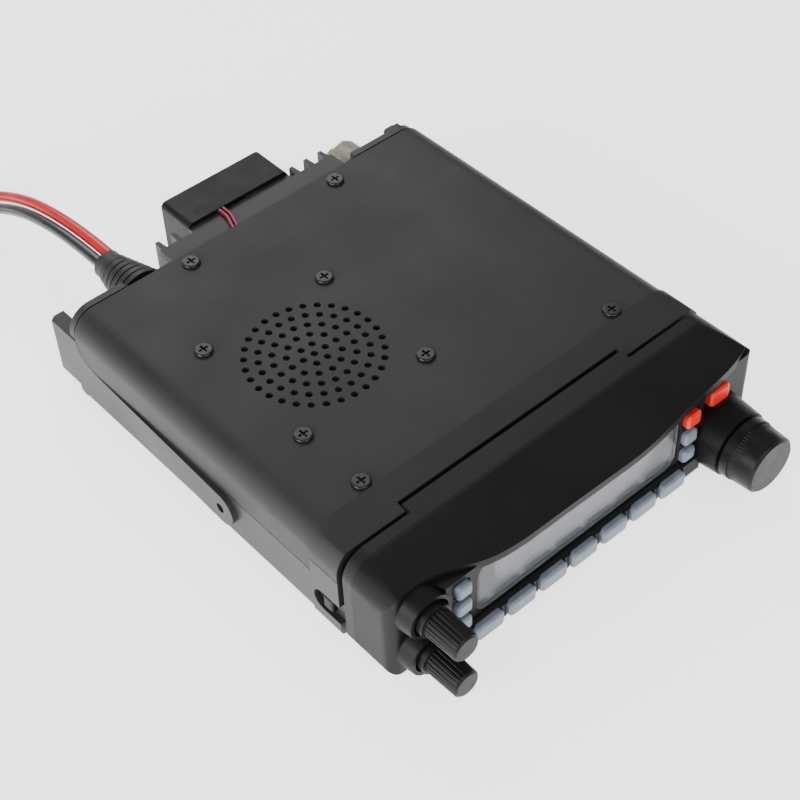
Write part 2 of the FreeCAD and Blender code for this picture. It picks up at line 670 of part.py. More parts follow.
def front_frame():
    """The moulded plate that closes the front of the body behind the head."""
    y0 = Y_COVER + 0.4
    y1 = y0 + 2.4
    plate = rounded_profile(-HALF + WALL + CLEAR, HALF - WALL - CLEAR, FLOOR + 3, BODY_HEIGHT - 2.8,
                            BEND_R - 3, 0, y0, y1)
    return plate.cut(box(SOCKET_X0, SOCKET_X1, y0 - 1, y1 + 1, SOCKET_Z0, SOCKET_Z1))


def head_socket():
    """The body's half of the connector to the head: a box open to the front."""
    y0 = Y_COVER + 0.4
    shell = box(SOCKET_X0, SOCKET_X1, y0, y0 + 9, SOCKET_Z0, SOCKET_Z1)
    mouth = box(SOCKET_X0 + SOCKET_WALL, SOCKET_X1 - SOCKET_WALL, y0 - 1, y0 + 7.5,
                SOCKET_Z0 + SOCKET_WALL, SOCKET_Z1 - SOCKET_WALL)
    return shell.cut(mouth)


def head_plug():
    """The head's half of the connector: a tongue that slides into the socket."""
    gap = SOCKET_WALL + 0.4
    tongue = box(SOCKET_X0 + gap, SOCKET_X1 - gap, Y_RING - HEAD_WALL - 0.5, Y_COVER + 6,
                 SOCKET_Z0 + gap, SOCKET_Z1 - gap)
    foot = box(SOCKET_X0 - 1, SOCKET_X1 + 1, Y_RING - HEAD_WALL - 2, Y_RING - HEAD_WALL,
               SOCKET_Z0 - 1, SOCKET_Z1 + 1)
    return tongue.fuse(foot).removeSplitter()


# ---------------------------------------------------------------- rear fittings

def antenna_socket():
    """A nickel-plated socket with a threaded outside, on a square flange."""
    half = ANTENNA_FLANGE / 2
    y0 = Y_RIM
    flange = box(ANTENNA_X - half, ANTENNA_X + half, y0, y0 + 1.6, ANTENNA_Z - half, ANTENNA_Z + half)
    flange = flange.makeFillet(1.5, edges_along(flange, BACK, lambda c: True))
    end = Y_RIM + ANTENNA_REACH
    barrel = rod(ANTENNA_X, y0, end, ANTENNA_Z, ANTENNA_R - THREAD_DEPTH)
    shell = flange.fuse(barrel)
    y = y0 + 5.0
    while y + THREAD_PITCH < end:
        ring = rod(ANTENNA_X, y, y + THREAD_PITCH / 2, ANTENNA_Z, ANTENNA_R - THREAD_DEPTH - 0.1, ANTENNA_R)
        fall = rod(ANTENNA_X, y + THREAD_PITCH / 2, y + THREAD_PITCH, ANTENNA_Z,
                   ANTENNA_R, ANTENNA_R - THREAD_DEPTH - 0.1)
        shell = shell.fuse(ring).fuse(fall)
        y += THREAD_PITCH
    collar = rod(ANTENNA_X, y0, y0 + 4.6, ANTENNA_Z, ANTENNA_R)
    shell = shell.fuse(collar)
    shell = shell.fuse(rod(ANTENNA_X, Y_RIM - REAR_RIM, y0 + 0.5, ANTENNA_Z, ANTENNA_R - 1.5))
    return shell.cut(rod(ANTENNA_X, Y_RIM - REAR_RIM - 1, end + 1, ANTENNA_Z, ANTENNA_R - 2.4))


def antenna_insulator():
    end = Y_RIM + ANTENNA_REACH - 6.0
    body = rod(ANTENNA_X, Y_RIM - REAR_RIM, end, ANTENNA_Z, ANTENNA_R - 2.4 - RUNNING)
    return body.cut(rod(ANTENNA_X, Y_RIM - REAR_RIM - 1, end + 1, ANTENNA_Z, 2.6))


def antenna_contact():
    """The split centre contact."""
    end = Y_RIM + ANTENNA_REACH - 4.5
    tube = rod(ANTENNA_X, Y_RIM - REAR_RIM - 4, end, ANTENNA_Z, 2.6 - RUNNING)
    tube = tube.cut(rod(ANTENNA_X, end - 9, end + 1, ANTENNA_Z, 1.9))
    slot = box(ANTENNA_X - 0.2, ANTENNA_X + 0.2, end - 6, end + 1, ANTENNA_Z - 4, ANTENNA_Z + 4)
    return tube.cut(slot)


def speaker_jack():
    """A panel socket for an outside loudspeaker."""
    inner = Y_COVER_REAR + CLEAR * 3
    body = box(JACK_X - 4, JACK_X + 4, inner - JACK_DEPTH + REAR_RIM, inner, JACK_Z - 4, JACK_Z + 4)
    neck = rod(JACK_X, inner - 0.5, Y_RIM + 1.6, JACK_Z, JACK_R + 1.4)
    collar = rod(JACK_X, Y_RIM, Y_RIM + 1.6, JACK_Z, JACK_R + 2.4)
    jack = body.fuse(neck).fuse(collar)
    return jack.cut(rod(JACK_X, Y_RIM + 2 - JACK_DEPTH, Y_RIM + 2, JACK_Z, JACK_R))


def fan_axis():
    return (SHROUD_LEFT + SHROUD_RIGHT) / 2, (SHROUD_BASE + SHROUD_TOP) / 2


def fan_shroud():
    """A moulded duct with a round throat; it stands against the middle fins."""
    x, z = fan_axis()
    y0, y1 = Y_SINK, Y_SHROUD
    shell = box(SHROUD_LEFT, SHROUD_RIGHT, y0, y1, SHROUD_BASE, SHROUD_TOP)
    rounds = edges_along(shell, BACK, lambda c: True)
    shell = shell.makeFillet(2.0, rounds)
    rear = [e for e in shell.Edges if abs(e.CenterOfMass.y - y1) < 0.01]
    shell = shell.makeChamfer(0.8, rear)
    plenum = box(SHROUD_LEFT + SHROUD_WALL, SHROUD_RIGHT - SHROUD_WALL, y0 - 1, y1 - 9.0,
                 SHROUD_BASE + SHROUD_WALL, SHROUD_TOP - SHROUD_WALL)
    shell = shell.cut(plenum).cut(rod(x, y0 - 1, y1 + 1, z, FAN_R + FAN_TIP_GAP))
    for px, pz in fan_screw_places():
        shell = shell.cut(rod(px, y1 - 8, y1 + 1, pz, SCREW_R + RUNNING))
        shell = shell.cut(rod(px, y1 - 1.0, y1 + 1, pz, FAN_SCREW_HEAD_R + CLEAR / 2))
    return shell


def fan_screw_places():
    x, z = fan_axis()
    dx = (SHROUD_RIGHT - SHROUD_LEFT) / 2 - 3.6
    dz = (SHROUD_TOP - SHROUD_BASE) / 2 - 3.6
    return [(x + i * dx, z + j * dz) for i in (-1, 1) for j in (-1, 1)]


def fan_screws():
    screws = []
    for x, z in fan_screw_places():
        head = rod(x, Y_SHROUD - 1.0, Y_SHROUD - 0.2, z, FAN_SCREW_HEAD_R)
        screws.append(head.fuse(rod(x, Y_SHROUD - 7, Y_SHROUD - 1.0, z, SCREW_R)))
    return Part.makeCompound(screws)


def fan_stator():
    """The motor's fixed half: a plate on four struts, and the pin that the rotor turns on."""
    x, z = fan_axis()
    y0 = Y_SHROUD - 9.0 + 7.4
    plate = rod(x, y0, Y_SHROUD - 0.2, z, FAN_HUB_R)
    struts = []
    for i in range(4):
        strut = box(x + FAN_HUB_R - 0.6, x + FAN_R + 2, y0 + 0.1, Y_SHROUD - 0.3, z - 0.8, z + 0.8)
        strut = strut.common(rod(x, y0, Y_SHROUD, z, FAN_R + FAN_TIP_GAP))
        strut.rotate(vec(x, 0, z), BACK, 45 + 90 * i)
        struts.append(strut)
    pin = rod(x, y0 - FAN_DEPTH + 1, y0 + 0.5, z, 1.0)
    return joined([plate] + struts + [pin])


def fan_rotor():
    """A hub with swept blades."""
    x, z = fan_axis()
    y1 = Y_SHROUD - 9.0 + 7.0
    y0 = y1 - FAN_DEPTH
    hub = rod(x, y0, y1, z, FAN_HUB_R)
    blades = []
    for i in range(FAN_BLADES):
        blade = prism([vec(FAN_HUB_R - 0.5, y0 + 0.4, -2.4), vec(FAN_HUB_R - 0.5, y0 + 1.4, -2.4),
                       vec(FAN_HUB_R - 0.5, y1 - 0.4, 2.4), vec(FAN_HUB_R - 0.5, y1 - 1.4, 2.4)],
                      vec(FAN_R - FAN_HUB_R + 0.2, 0, 0))
        blade.translate(vec(x, 0, z))
        blade.rotate(vec(x, 0, z), BACK, 360 / FAN_BLADES * i)
        blades.append(blade)
    rotor = joined([hub] + blades)
    return rotor.cut(rod(x, y0 + 0.6, y1 + 1, z, 1.0 + RUNNING))


# ---------------------------------------------------------------- leads

def routed_tube(points, radius, name):
    """A tube of straight runs joined by tangent arcs, as large as the runs allow. Prints the radii."""
    points = [FreeCAD.Vector(*p) for p in points]
    edges = []
    start = points[0]
    radii = []
    for i in range(1, len(points) - 1):
        before = points[i].sub(points[i - 1])
        after = points[i + 1].sub(points[i])
        shorter = min(before.Length, after.Length)
        turn = before.getAngle(after)
        bend = 0.45 * shorter / math.tan(turn / 2)
        radii.append(round(bend, 1))
        back = FreeCAD.Vector(before).normalize().multiply(0.45 * shorter)
        on = FreeCAD.Vector(after).normalize().multiply(0.45 * shorter)
        first, last = points[i].sub(back), points[i].add(on)
        middle_way = on.sub(back).normalize()
        middle = points[i].add(middle_way.multiply(bend / math.cos(turn / 2) - bend))
        edges.append(Part.LineSegment(start, first).toShape())
        edges.append(Part.Arc(first, middle, last).toShape())
        start = last
    edges.append(Part.LineSegment(start, points[-1]).toShape())
    path = Part.Wire(edges)
    ring = Part.Wire([Part.Circle(points[0], points[1].sub(points[0]), radius).toShape()])
    tube = path.makePipeShell([ring], True, False)
    expected = math.pi * radius ** 2 * path.Length
    print(name, "radii", radii, "length", round(path.Length, 1), "volume share", round(tube.Volume / expected, 4))
    return tube


# Each lead's way: how far right of the bell's middle, how far behind its end, and height
LEAD_START = Y_RIM + RELIEF_LENGTH
PLUG_REAR = 49.5
RED_WAY = [
    (2.0, 0.0, 26.0), (2.0, 11.5, 26.0), (1.8, 28.5, 24.4), (1.2, 47.5, 20.4),
    (-0.9, 66.0, 13.2), (-7.0, 82.5, 5.6), (-20.0, 92.5, 2.2), (-36.5, 92.5, 2.0),
    (-49.0, 82.0, 2.1), (-54.1, 66.5, 4.5), (-54.1, PLUG_REAR, 4.5),
]
BLACK_WAY = [
    (-2.0, 0.0, 25.0), (-2.0, 11.5, 25.0), (-2.3, 27.5, 23.6), (-3.1, 45.0, 19.8),
    (-5.0, 61.5, 12.9), (-10.6, 75.6, 5.6), (-21.4, 83.6, 2.2), (-35.0, 83.4, 2.0),
    (-44.7, 75.0, 2.1), (-49.3, 62.5, 4.5), (-49.3, PLUG_REAR, 4.5),
]


def behind(way):
    """A lead's way in the set's own frame."""
    return [(RELIEF_X + x, LEAD_START + back, z) for x, back, z in way]


def strain_relief():
    """A ribbed rubber bell that widens towards the rear wall. The leads leave its narrow end."""
    y0, y1 = Y_RIM, LEAD_START
    neck = rod(RELIEF_X, Y_COVER_REAR, y0 + 0.5, RELIEF_Z, RELIEF_TIP_R)
    core = rod(RELIEF_X, y0, y1, RELIEF_Z, RELIEF_BASE_R - 1.4, RELIEF_TIP_R - 0.3)
    ribs = [neck, core]
    count = 7
    pitch = (y1 - y0) / count
    for i in range(count):
        share = i / (count - 1)
        radius = RELIEF_BASE_R + (RELIEF_TIP_R - RELIEF_BASE_R) * share
        ribs.append(rod(RELIEF_X, y0 + i * pitch, y0 + (i + 0.62) * pitch, RELIEF_Z, radius))
    ribs.append(rod(RELIEF_X, y1 - 1.2, y1, RELIEF_Z, RELIEF_TIP_R))
    return joined(ribs)


def lead(route, name):
    return routed_tube(route, LEAD_DIAMETER / 2, name)


def power_plug():
    """The flat two-way plug on the free end of the leads, open at its mating face."""
    x = RELIEF_X + (RED_WAY[-1][0] + BLACK_WAY[-1][0]) / 2
    y1 = LEAD_START + PLUG_REAR
    z = RED_WAY[-1][2]
    half = PLUG_WIDTH / 2
    body = box(x - half, x + half, y1 - PLUG_LENGTH, y1, z - PLUG_HEIGHT / 2, z + PLUG_HEIGHT / 2)
    body = body.makeFillet(1.0, edges_along(body, BACK, lambda c: True))
    ridge = box(x - 2, x + 2, y1 - PLUG_LENGTH, y1 - PLUG_LENGTH + 12, z, z + PLUG_HEIGHT / 2 + 1.2)
    body = body.fuse(ridge)
    for dx in (-2.9, 2.9):
        way = box(x + dx - 2.2, x + dx + 2.2, y1 - PLUG_LENGTH - 1, y1 - PLUG_LENGTH + 9, z - 3, z + 3)
        body = body.cut(way)
    return body.removeSplitter()


def fan_leads():
    """Two thin wires from the shroud, over the heat sink and in under the cover."""
    wires = []
    z = SINK_TOP + 0.8
    for dx in (0.0, 1.5):
        x = -8.0 + dx
        route = [(x + 2.2, Y_SINK, z), (x + 2.2, Y_SINK - 4.3, z), (x + 0.6, Y_RIM - 0.2, z + 0.1),
                 (x - 0.9, Y_COVER_REAR - 1.5, z), (x - 1.9, Y_COVER_REAR - 6.5, z - 0.6)]
        wires.append(routed_tube(route, 0.6, "fan lead"))
    return Part.makeCompound(wires)


# ---------------------------------------------------------------- control head

def head_outline(x0, x1, y0, y1, inset=0.0):
    return rounded_profile(x0, x1, HEAD_BASE + inset, HEAD_TOP - inset, HEAD_TOP_R - inset,
                           max(HEAD_FOOT_R - inset, 0.5), y0, y1)


def plan(points, z0, z1):
    """An upright prism from an outline in plan."""
    return prism([vec(x, y, z0) for x, y in points], vec(0, 0, z1 - z0))


def face_plan(inset):
    """The head's front in plan: set back at both ends for the knobs, forward in the middle."""
    left, middle, right = Y_LEFT + inset, Y_BOWED + inset, Y_RIGHT + inset
    return [(-HALF, Y_SEAM + 1), (-HALF, left), (PANEL_LEFT - 2 + inset, left),
            (PANEL_LEFT + inset, middle), (PANEL_RIGHT - inset, middle), (PANEL_RIGHT + 1.5 - inset, right),
            (HALF, right), (HALF, Y_SEAM + 1)]


# The visor's front edge: how far across the half width, and how much of its reach
VISOR_SHAPE = [(-0.94, 0.0), (-0.81, 0.0), (-0.70, 0.29), (-0.62, 0.60), (-0.27, 0.96), (0.04, 1.0),
               (0.30, 0.96), (0.53, 0.67), (0.86, 0.32), (0.95, 0.08)]


def visor():
    """The brow over the display, as a smooth curve in plan."""
    z = HEAD_TOP - VISOR_DROP
    reach = Y_LEFT - Y_VISOR
    points = [vec(HALF * across, Y_LEFT - reach * share, z) for across, share in VISOR_SHAPE]
    curve = Part.BSplineCurve()
    curve.interpolate(points)
    edge = HALF + 1
    rest = [points[-1], vec(edge, Y_LEFT + 2, z), vec(edge, Y_SEAM + 1, z), vec(-HALF, Y_SEAM + 1, z),
            vec(-HALF, Y_LEFT, z), points[0]]
    wire = Part.Wire([curve.toShape()] + Part.makePolygon(rest).Edges)
    brow = Part.Face(wire).extrude(vec(0, 0, VISOR_DROP + 1))
    corner = edges_along(brow, UP, lambda c: abs(c.x + HALF) < 0.01 and abs(c.y - Y_LEFT) < 0.01)
    return brow.makeFillet(min(FACE_CORNER_R, HALF + points[0].x - 0.1), corner)


def head_shell_outer():
    """The outside of the head's front moulding, before its collars and openings."""
    face = plan(face_plan(0), HEAD_BASE - 1, HEAD_TOP - VISOR_DROP + FACE_ROOF)
    ends = edges_along(face, UP, lambda c: abs(abs(c.x) - HALF) < 0.01 and c.y < Y_SEAM)
    face = face.makeFillet(FACE_CORNER_R, ends)
    block = visor().fuse(face).common(head_outline(-HALF, HALF, Y_VISOR - 2, Y_SEAM))
    chin = prism([vec(-HALF - 1, Y_BOWED - 3, HEAD_BASE - 1), vec(-HALF - 1, Y_BOWED - 3, KEY_ROW_Z - 3.0),
                  vec(-HALF - 1, Y_BOWED, KEY_ROW_Z - 4.0), vec(-HALF - 1, Y_BOWED + 6, HEAD_BASE - 1)],
                 vec(BODY_WIDTH + 2, 0, 0))
    slope = prism([vec(-HALF - 1, Y_SEAM - 1, HEAD_TOP), vec(-HALF - 1, Y_SEAM - 1, HEAD_TOP + 3),
                   vec(-HALF - 1, Y_VISOR - 3, HEAD_TOP + 3), vec(-HALF - 1, Y_VISOR - 3, HEAD_TOP - HEAD_SLOPE)],
                  vec(BODY_WIDTH + 2, 0, 0))
    return block.cut(chin).cut(slope).fuse(key_ledge())


def key_ledge():
    """The lower part of the panel stands forward round the row of keys."""
    y0, y1 = Y_BOWED - KEY_LEDGE, Y_BOWED + 0.5
    z0, z1 = KEY_ROW_Z - KEY_ROW_HEIGHT / 2 - 0.4, WINDOW_BASE - 0.1
    x = PANEL_LEFT + 1.2
    profile = [(y1, z0), (y0 + 0.6, z0), (y0, z0 + 0.6), (y0, z1 - 0.9), (Y_BOWED - 0.4, z1), (y1, z1)]
    return prism([vec(x, y, z) for y, z in profile], vec(PANEL_RIGHT - 1.2 - x, 0, 0))


def key_list():
    """(name, x, z, width, height, how far it stands out) of every key."""
    keys = []
    for i in range(KEY_ROW_COUNT):
        x = KEY_ROW_X + (i - (KEY_ROW_COUNT - 1) / 2) * KEY_ROW_PITCH
        keys.append((f"function_key_{i + 1}", x, KEY_ROW_Z, *KEY_ROW_SIZE, KEY_PROUD))
    for i in range(3):
        z = SIDE_KEY_TOP_Z - i * SIDE_KEY_PITCH
        keys.append((f"memory_key_{i + 1}", LEFT_KEYS_X, z, *SIDE_KEY_SIZE, SIDE_KEY_PROUD))
    for i in range(2):
        z = SIDE_KEY_TOP_Z - (i + 1) * SIDE_KEY_PITCH
        keys.append((f"memory_key_{i + 4}", RIGHT_KEYS_X, z, *SIDE_KEY_SIZE, SIDE_KEY_PROUD))
    width, height = SIDE_KEY_SIZE
    keys.append(("red_key_small", RIGHT_KEYS_X + 0.3, SIDE_KEY_TOP_Z, width + 0.4, height + 0.3, SIDE_KEY_PROUD))
    keys.append(("red_key_large", RED_KEY_X, RED_KEY_Z, *RED_KEY_SIZE, RED_KEY_PROUD))
    return keys


def key_face_y(x):
    """Where the panel's outer face is at a place across it."""
    if PANEL_LEFT <= x <= PANEL_RIGHT:
        return Y_BOWED
    return Y_RIGHT


def key_base_y(x):
    """The key's flange stands behind the panel."""
    return key_face_y(x) + HEAD_WALL + 0.15


def chamfered_bar(x, z, width, height, y0, y1, corner, chamfer):
    """A bar along Y with rounded corners and a chamfered front end."""
    bar = box(x - width / 2, x + width / 2, y0, y1, z - height / 2, z + height / 2)
    bar = bar.makeFillet(corner, edges_along(bar, BACK, lambda c: True))
    if chamfer <= 0:
        return bar
    rim = [e for e in bar.Edges if abs(e.CenterOfMass.y - y0) < 0.01 and abs(e.BoundBox.YLength) < 0.01]
    return bar.makeChamfer(chamfer, rim)


def key(x, z, width, height, proud):
    face, base = key_face_y(x), key_base_y(x)
    cap = chamfered_bar(x, z, width, height, face - proud, base + 0.5, min(width, height) * 0.28, 0.7)
    grow = KEY_FLANGE * 2
    flange = chamfered_bar(x, z, width + grow, height + grow * 0.5, base, base + 1.0, 0.8, 0)
    return cap.fuse(flange).removeSplitter()


def knob_list():
    return [("volume_knob", KNOB_X, VOLUME_Z), ("squelch_knob", KNOB_X, SQUELCH_Z)]


def knob_collar(x, z):
    """The moulded tube round a small knob's foot, flared where it meets the case."""
    return rod(x, Y_PANEL - 2, Y_LEFT + 0.5, z, KNOB_COLLAR_R, KNOB_COLLAR_R + 0.7)


def dial_collar():
    """The cone that carries the dial, cut flat beside the keys."""
    cone = rod(DIAL_X, Y_COLLAR, Y_RIGHT + 0.5, DIAL_Z, COLLAR_R, COLLAR_BASE_R)
    edge = RIGHT_KEYS_X + SIDE_KEY_SIZE[0] / 2 + KEY_GAP + CLEAR
    return cone.common(box(edge, HALF, Y_DIAL, Y_SEAM, 0, HEAD_TOP))


def head_screw_places():
    x = HALF - 4.4
    top = HEAD_TOP - 10.0
    return [(-x, 5.0), (x, 5.0), (-x, top), (x, top)]


def head_front_case():
    """The head's front moulding: a shell with a visor, a bowed panel and the control collars."""
    case = head_shell_outer()
    trim = head_outline(-HALF, HALF, Y_DIAL, Y_SEAM)
    for _, x, z in knob_list():
        case = case.fuse(knob_collar(x, z).common(trim))
    case = case.fuse(dial_collar().common(trim))
    room = rounded_profile(-HALF + HEAD_WALL, HALF - HEAD_WALL, HEAD_BASE + HEAD_WALL, HEAD_TOP - HEAD_ROOF,
                           HEAD_TOP_R - HEAD_WALL, 1.0, Y_VISOR, Y_SEAM + 1)
    case = case.cut(plan(face_plan(HEAD_WALL), 0, HEAD_TOP).common(room))
    for x, z in head_screw_places():
        side = 1 if x > 0 else -1
        x0, x1 = sorted((x - side * 2.6, side * (HALF - 1)))
        case = case.fuse(box(x0, x1, Y_SEAM - 5, Y_SEAM - 0.2, z - 2.6, z + 2.6))
    for x, z in head_screw_places():
        case = case.cut(rod(x, Y_SEAM - 4, Y_SEAM + 1, z, SCREW_R + RUNNING))
    for _, x, z in knob_list():
        case = case.cut(rod(x, Y_VISOR - 2, Y_LEFT - 0.4, z, KNOB_SKIRT_R + 0.7))
        case = case.cut(rod(x, Y_VISOR - 2, Y_LEFT + 6, z, BUSH_R + CLEAR / 2))
    case = case.cut(rod(DIAL_X, Y_DIAL, Y_RIGHT, DIAL_Z, COLLAR_R - 1.6))
    case = case.cut(rod(DIAL_X, Y_DIAL, Y_RIGHT + 6, DIAL_Z, BUSH_R + CLEAR / 2))
    for _, x, z, width, height, _ in key_list():
        hole = chamfered_bar(x, z, width + 2 * KEY_GAP, height + 2 * KEY_GAP, key_face_y(x) - 4,
                             key_face_y(x) + HEAD_WALL + 1, min(width, height) * 0.28, 0)
        case = case.cut(hole)
    seat = window_bar(0.2, Y_BOWED - 1, Y_BOWED + WINDOW_THICK)
    return case.cut(window_bar(-3.0, Y_BOWED - 1, Y_BOWED + 4)).cut(seat).removeSplitter()


def window_bar(grow, y0, y1):
    """The outline of the display window, a little larger or smaller."""
    return chamfered_bar((WINDOW_LEFT + WINDOW_RIGHT) / 2, (WINDOW_BASE + WINDOW_TOP) / 2,
                         WINDOW_RIGHT - WINDOW_LEFT + grow, WINDOW_TOP - WINDOW_BASE + grow,
                         y0, y1, WINDOW_CORNER, 0)


def display_window():
    """A clear plate set into the panel in front of the display."""
    return window_bar(0.0, Y_BOWED + 0.2, Y_BOWED + WINDOW_THICK)


def lcd_panel():
    y0 = Y_BOWED + HEAD_WALL
    return box(WINDOW_LEFT + 2, WINDOW_RIGHT - 2, y0, y0 + 2.0, WINDOW_BASE + 0.6, WINDOW_TOP)


def light_box():
    """The lit holder that carries the display on the board."""
    y0 = Y_BOWED + HEAD_WALL + 2.0
    return box(WINDOW_LEFT + 2, WINDOW_RIGHT - 2, y0, BOARD_FRONT, WINDOW_BASE + 0.6, WINDOW_TOP)


BOARD_FRONT = Y_PANEL + 9.0


def head_board():
    x = HALF - HEAD_WALL - 2
    return box(-x, x, BOARD_FRONT, BOARD_FRONT + BOARD_THICK, HEAD_BASE + HEAD_WALL + 1, HEAD_TOP - HEAD_ROOF - 2.0)


def control_body(x, z, side, face):
    """A potentiometer or encoder: a square body, a bush through the case and a bore for the shaft."""
    half = side / 2
    y0 = face + HEAD_WALL + CLEAR
    body = box(x - half, x + half, y0, BOARD_FRONT, z - half, z + half)
    bush = rod(x, face, y0 + 0.5, z, BUSH_R)
    return body.fuse(bush).cut(rod(x, face - 1, BOARD_FRONT - 1, z, SHAFT_R + RUNNING))


def key_mat():
    """The rubber sheet that springs the keys back, with a pad behind each key."""
    y_mat = BOARD_FRONT - 1.2
    pads = []
    for _, x, z, width, height, _ in key_list():
        front = key_base_y(x) + 1.0 + KEY_TRAVEL + 0.5
        half_x, half_z = width / 2 - 0.4, height / 2 - 0.4
        pads.append(box(x - half_x, x + half_x, front, y_mat, z - half_z, z + half_z))
    x0 = LEFT_KEYS_X - 4
    row = box(x0, RIGHT_KEYS_X + 4, y_mat - 0.01, BOARD_FRONT, KEY_ROW_Z - 2.4, KEY_ROW_Z + 3.2)
    left = box(x0, LEFT_KEYS_X + 3.4, y_mat - 0.01, BOARD_FRONT, KEY_ROW_Z, SIDE_KEY_TOP_Z + 3)
    right = box(RIGHT_KEYS_X - 3.2, RIGHT_KEYS_X + 4, y_mat - 0.01, BOARD_FRONT, KEY_ROW_Z, SIDE_KEY_TOP_Z + 3)
    arm = box(RIGHT_KEYS_X, RED_KEY_X + 4, y_mat - 0.01, BOARD_FRONT, SIDE_KEY_TOP_Z - 2, SIDE_KEY_TOP_Z + 3)
    return joined([row, left, right, arm] + pads)


def head_rear_case():
    """The head's back moulding: a shallow tray with a tab along the top that reaches over the body."""
    tray = head_outline(-HALF, HALF, Y_SEAM, Y_RING)
    tray = tray.cut(head_outline(-HALF + HEAD_WALL, HALF - HEAD_WALL, Y_SEAM - 1, Y_RING - HEAD_WALL, HEAD_WALL))
    tab = box(NOTCH_LEFT + CLEAR, NOTCH_RIGHT - CLEAR, Y_RING - 0.5, Y_COVER + NOTCH_DEPTH - HEAD_GAP,
              HEAD_TOP - 2.4, HEAD_TOP)
    tray = tray.fuse(tab)
    tray = tray.cut(box(SOCKET_X0 + SOCKET_WALL, SOCKET_X1 - SOCKET_WALL, Y_RING - 3, Y_RING + 1,
                        SOCKET_Z0 + SOCKET_WALL, SOCKET_Z1 - SOCKET_WALL))
    for x, z in head_screw_places():
        tray = tray.cut(rod(x, Y_SEAM, Y_RING + 1, z, SCREW_R + 0.15))
    return tray.removeSplitter()


def head_screws():
    screws = []
    for x, z in head_screw_places():
        head = rod(x, Y_RING, Y_RING + 0.9, z, 2.4)
        screws.append(head.fuse(rod(x, Y_SEAM - 3, Y_RING, z, SCREW_R)))
    return Part.makeCompound(screws)


# ---------------------------------------------------------------- controls

def ridges(x, z, y0, y1, radius, count, depth):
    """Straight grooves round a grip, to cut from it."""
    cutters = []
    for i in range(count):
        angle = 360.0 / count * i
        groove = Part.makeCylinder(depth, y1 - y0, vec(x + radius, y0, z), BACK)
        groove.rotate(vec(x, 0, z), BACK, angle)
        cutters.append(groove)
    return Part.makeCompound(cutters)


def end_edges(shape, y):
    return [e for e in shape.Edges if abs(e.CenterOfMass.y - y) < 0.01 and e.BoundBox.YLength < 0.01]


def small_knob(x, z):
    """A ridged knob on its shaft. Its skirt turns inside the collar."""
    foot = Y_LEFT - 1.2
    waist = foot - 5.8
    end = waist - KNOB_LENGTH + 2
    skirt = rod(x, waist, foot, z, KNOB_SKIRT_R)
    grip = rod(x, end, waist + 0.5, z, KNOB_R - 0.3, KNOB_R)
    grip = grip.makeChamfer(0.6, end_edges(grip, end))
    grip = grip.cut(ridges(x, z, end - 1, waist - 0.2, KNOB_R + 0.05, KNURLS_SMALL, 0.42))
    shaft = rod(x, foot - 1, BOARD_FRONT - 1.8, z, SHAFT_R)
    return joined([skirt, grip, shaft])


def main_dial():
    """The tuning knob: a plain foot in the collar, a waist, and a finely ridged rim."""
    foot = Y_RIGHT - 0.8
    core = rod(DIAL_X, Y_COLLAR + 0.6, foot, DIAL_Z, COLLAR_R - 2.0)
    ring = rod(DIAL_X, Y_COLLAR - 3.6, Y_COLLAR - 0.9, DIAL_Z, DIAL_R)
    waist = rod(DIAL_X, Y_COLLAR - 1.2, Y_COLLAR + 0.8, DIAL_Z, DIAL_R - 1.6)
    rim = rod(DIAL_X, Y_DIAL, Y_COLLAR - 3.4, DIAL_Z, DIAL_R - 0.8, DIAL_R - 0.3)
    rim = rim.makeChamfer(0.8, end_edges(rim, Y_DIAL))
    rim = rim.cut(ridges(DIAL_X, DIAL_Z, Y_DIAL + 0.9, Y_COLLAR - 3.7, DIAL_R - 0.15, KNURLS_DIAL, 0.36))
    shaft = rod(DIAL_X, foot - 1, BOARD_FRONT - 1.8, DIAL_Z, SHAFT_R)
    return joined([core, ring, waist, rim, shaft])


# ---------------------------------------------------------------- latch

def release_latch():
    """The button that lets the head go. Its foot is wider than the hole in the wall."""
    y0 = Y_COVER + LATCH_FROM_FRONT
    y1 = y0 + LATCH_LENGTH
    z0, z1 = LATCH_Z - LATCH_HEIGHT / 2, LATCH_Z + LATCH_HEIGHT / 2
    button = box(-HALF - BAND_PROUD + 0.2, -HALF + WALL + 1.0, y0, y1, z0, z1)
    button = button.makeChamfer(0.5, [e for e in button.Edges if e.BoundBox.XMax < -HALF - BAND_PROUD + 0.3])
    x0 = -HALF + WALL + 0.4
    foot = box(x0, x0 + LATCH_THICK, y0 - 0.5, y1 + 1.5, z0 - 0.8, z1 + 1.5)
    return button.fuse(foot).removeSplitter()


def latch_spring():
    """The coil behind the latch, drawn as a plain sleeve that stops short of its lug."""
    x0 = -HALF + WALL + 0.4 + LATCH_THICK
    length = SPRING_SPACE - 0.4 - LATCH_THICK - LATCH_TRAVEL - 0.4
    y = Y_COVER + LATCH_FROM_FRONT + LATCH_LENGTH / 2
    sleeve = Part.makeCylinder(1.6, length, vec(x0, y, LATCH_Z), RIGHT)
    return sleeve.cut(Part.makeCylinder(1.0, length, vec(x0, y, LATCH_Z), RIGHT))


